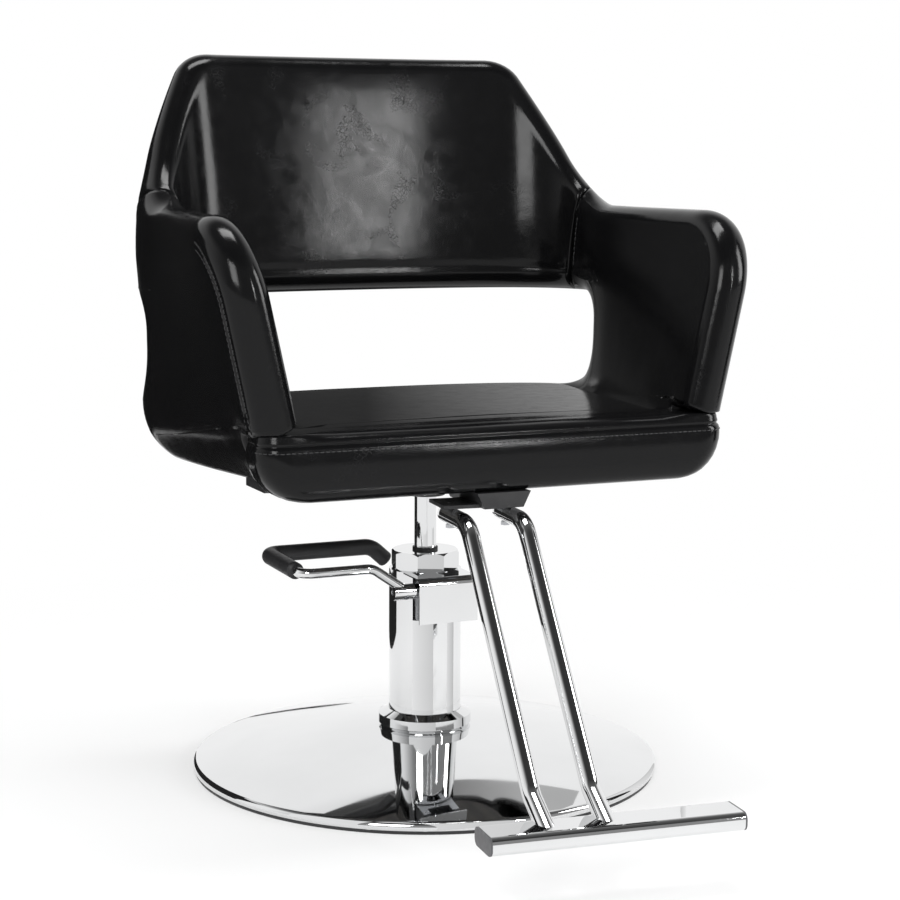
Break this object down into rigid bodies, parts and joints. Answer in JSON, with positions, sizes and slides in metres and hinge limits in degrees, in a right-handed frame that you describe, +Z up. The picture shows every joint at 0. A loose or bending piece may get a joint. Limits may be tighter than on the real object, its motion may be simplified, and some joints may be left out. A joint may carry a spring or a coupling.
{
  "type": "styling chair",
  "caption": "Hydraulic styling chair with a black upholstered tub seat, chrome foot pump column, domed round base and T-bar footrest.",
  "frame": {"origin": "on the floor under the pump axis", "axes": "+Z up along the pump axis, the sitter faces -Y, +X is the sitter's left"},
  "size_m": [0.6672, 0.8445, 0.8682],
  "materials": {
    "chrome": "polished chrome plate",
    "steel": "bright zinc or machined",
    "dark_steel": "black powder coat",
    "leather": "glossy creased synthetic leather",
    "rubber": "matt moulded rubber",
    "cap_plastic": "satin moulded plastic",
    "plywood": "raw birch plywood"
  },
  "bodies": {
    "base": {"base_plate": "chrome", "floor_ring": "rubber", "base_weight": "steel", "centre_pad": "rubber", "pump_foot": "steel", "pump_bolts": "steel", "trim_ring": "chrome", "pump_cylinder": "steel", "pump_sleeve": "chrome", "gland_nut": "chrome", "wiper_seal": "rubber", "pump_head": "steel", "lever_cover": "chrome"},
    "pedal": {"lever_shaft": "chrome", "rocker_arm": "steel", "pedal_rod": "chrome", "pedal_sleeve": "rubber", "clamp_screw": "steel", "grub_screw": "steel", "shaft_bolt": "chrome"},
    "plunger": {"pump_plunger": "steel"},
    "ram": {"lift_ram": "chrome", "ram_seal": "rubber"},
    "seat": {"seat_hub": "dark_steel", "mount_plate": "dark_steel", "mount_bolts": "steel", "seat_board": "plywood", "seat_cushion": "leather", "arm_left": "leather", "arm_right": "leather", "backrest": "leather", "arm_bracket_left": "dark_steel", "arm_bracket_right": "dark_steel", "bracket_bolts": "steel", "footrest_bracket": "dark_steel", "footrest_tube_left": "chrome", "footrest_tube_right": "chrome", "footrest_bar": "chrome", "bar_cap_left": "cap_plastic", "bar_cap_right": "cap_plastic", "footrest_bolts": "steel"}
  },
  "joints": [
    {"name": "lift", "type": "slide", "parent": "base", "child": "ram", "axis": [0, 0, 1], "range_m": [0, 0.13]},
    {"name": "swivel", "type": "hinge", "parent": "ram", "child": "seat", "pos_m": [0, 0, 0.35], "axis": [0, 0, 1], "continuous": true},
    {"name": "pedal_pivot", "type": "hinge", "parent": "base", "child": "pedal", "pos_m": [0, -0.058, 0.231], "axis": [-1, 0, 0], "range_deg": [0, 25], "stiffness_Nm_per_rad": 6, "springref_deg": -8.59},
    {"name": "plunger_slide", "type": "slide", "parent": "base", "child": "plunger", "axis": [0, 0, -1], "range_m": [0, 0.0075]}
  ],
  "couplings": [
    {"joint": "plunger_slide", "follows": "pedal_pivot", "m_per_rad": 0.016}
  ]
}
